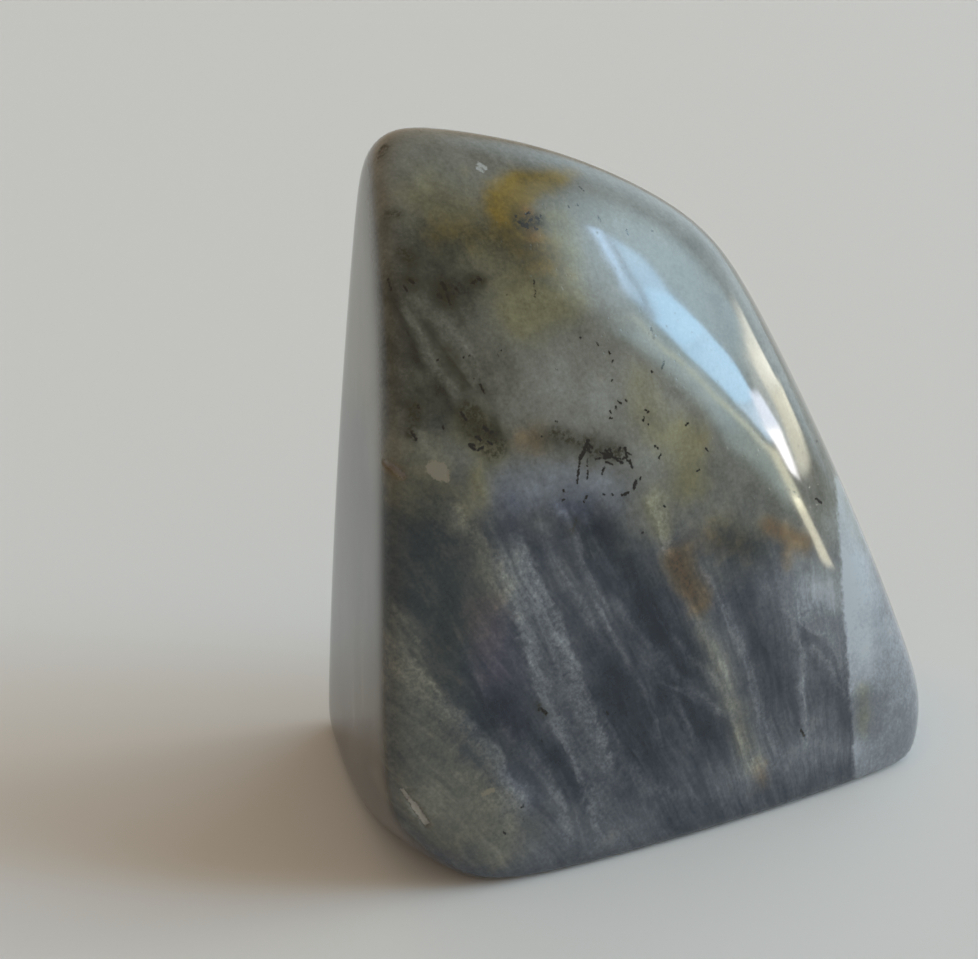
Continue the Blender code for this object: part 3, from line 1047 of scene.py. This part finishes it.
# The panes of soft light around the stone. Each is outlined by the photo pixels in whose polish
# it shows, and is given as softness in degrees, radiance, then those pixels, in order around it.
# A later pane covers an earlier one.
PANES = {
    "beside": (4.0, (2.6, 3.5, 4.0), 700, 290, 722, 292, 748, 335, 728, 352),
    "between": (1.2, (4.0, 4.4, 4.3), 742, 350, 762, 366, 802, 440, 804, 476, 788, 462, 757, 398),
    "veil": (2.4, (3.2, 4.2, 4.4), 640, 312, 752, 425, 736, 446, 622, 332),
    "veil foot": (2.0, (2.6, 3.2, 3.1), 752, 425, 796, 494, 786, 504, 736, 446),
    "sky top": (0.9, (5.2, 7.9, 10.4), 600, 232, 640, 256, 673, 296, 653, 318, 634, 300),
    "sky": (0.5, (6.2, 10.0, 13.4), 641, 285, 673, 297, 707, 330, 684, 352, 654, 320),
    "sky middle": (0.5, (5.8, 9.3, 12.4), 684, 352, 707, 330, 729, 356, 757, 400, 738, 406),
    "sky foot": (0.7, (6.4, 8.6, 10.6), 738, 406, 757, 400, 776, 430, 768, 442),
    "sky strip": (0.4, (6.8, 9.8, 13.2), 586, 227, 600, 231, 633, 298, 625, 291),
    "sash top": (0.3, (3.2, 4.4, 5.6), 602, 236, 606, 234, 642, 286, 637, 289),
    "sash": (0.3, (3.2, 4.4, 5.6), 637, 289, 642, 286, 656, 318, 651, 321),
    "line top": (0.3, (4.8, 5.4, 4.9), 631, 317, 635, 314, 665, 347, 662, 350),
    "line": (0.3, (5.2, 5.8, 5.0), 662, 350, 665, 347, 720, 397, 717, 400),
    "line foot": (0.3, (5.8, 6.2, 5.0), 717, 400, 720, 397, 768, 448, 764, 451),
    "cream top": (2.2, (6.2, 6.2, 5.5), 737, 312, 741, 310, 762, 352, 746, 352),
    "cream": (1.6, (8.2, 8.0, 6.9), 745, 340, 758, 344, 780, 386, 768, 392, 752, 362),
    "cream foot": (1.3, (6.8, 6.5, 5.2), 768, 388, 781, 384, 800, 428, 808, 470, 799, 474),
    "ledge": (0.8, (8.0, 7.8, 5.8), 764, 444, 777, 450, 806, 508, 796, 508),
    "sun top": (0.6, (10.5, 11.3, 13.0), 750, 393, 759, 392, 779, 426, 765, 428),
    "sun": (0.6, (19.0, 18.5, 18.5), 765, 428, 779, 426, 799, 478, 792, 474),
}

# The strip light low beside the stone: the way to it in degrees, its width and height in degrees,
# its distance in millimetres, its colour and its radiance.
STRIP_WAY, STRIP_ANGLES = (-14.3, -4.2), (2.8, 8.8)
STRIP_DISTANCE, STRIP_COLOUR, STRIP_RADIANCE = 255.0, (1.0, 0.93, 0.68), 8.4
STRIP_SEEN_FROM = np.array((8.0, -2.0, 50.0))


def mirrored_directions(pixels):
    """The ways that the polish turns the camera's rays through the given photo pixels."""
    places = photo_points(pixels)
    rays = unit(places - CAMERA_AT)
    normals = surface_normals(places)
    return rays - 2.0 * (rays * normals).sum(axis=1, keepdims=True) * normals


def pane_edges(pixels):
    """The inward normals of the planes that bound a pane as the stone sees it."""
    corners = mirrored_directions(pixels)
    edges = unit(np.cross(corners, np.roll(corners, -1, axis=0)))
    return edges * np.sign(edges @ corners.mean(axis=0))[:, None]


def pane_share(paint, towards, softness, pixels):
    """1 inside a pane and 0 outside it."""
    within = [paint.dot(towards, edge) for edge in pane_edges(pixels)]
    nearest = within[0]
    for value in within[1:]:
        nearest = paint.math("MINIMUM", nearest, value)
    return paint.smooth(nearest, -math.radians(softness), math.radians(softness))


def make_strip_light():
    data = bpy.data.lights.new("strip_light", "AREA")
    data.shape = "RECTANGLE"
    data.size, data.size_y = (
        2.0 * STRIP_DISTANCE * MM * math.tan(math.radians(angle) / 2.0) for angle in STRIP_ANGLES
    )
    data.color = STRIP_COLOUR
    data.energy = STRIP_RADIANCE * math.pi * data.size * data.size_y
    light = add_object("strip_light", data)
    light.visible_diffuse = False
    direction = face_direction(*STRIP_WAY)
    light.location = (STRIP_SEEN_FROM + direction * STRIP_DISTANCE) * MM
    light.rotation_euler = Vector(direction).to_track_quat("Z", "Y").to_euler()


# The room's own soft light: a warm glow all round, paler at the horizon, and two pale walls, each
# with the way to its middle, the degrees from there to its full and its dark parts, and radiance.
GLOW = (0.50, 0.405, 0.295)
HORIZON = (0.50, 0.485, 0.46)
HORIZON_REACH = 0.35
WALLS = {
    "right wall": ((42.0, 26.0), 16.0, 36.0, (1.35, 1.60, 1.75)),
    "window wall": ((4.0, 34.0), 4.0, 23.0, (3.5, 4.7, 5.3)),
}


def make_world():
    world = bpy.data.worlds.new("soft_room")
    world.use_nodes = True
    paint = Paint(world.node_tree)
    towards = paint.node("TexCoord", {}, "Generated")
    height = paint.node("SeparateXYZ", {"Vector": towards}, "Z")
    level = paint.smooth(height, HORIZON_REACH, 0.0)
    room = paint.blend(level, GLOW, HORIZON)
    for direction, full, ends, radiance in WALLS.values():
        facing = paint.dot(towards, face_direction(*direction))
        angle = paint.times(paint.math("ARCCOSINE", facing), math.degrees(1.0))
        room = paint.blend(paint.smooth(angle, ends, full), room, radiance)
    for softness, radiance, *pixels in PANES.values():
        room = paint.blend(pane_share(paint, towards, softness, pixels), room, radiance)
    world.node_tree.links.new(room, world.node_tree.nodes["Background"].inputs["Color"])
    bpy.context.scene.world = world


make_camera()
make_stone()
make_floor()
make_world()
make_strip_light()
bpy.context.scene.view_settings.view_transform = "Standard"
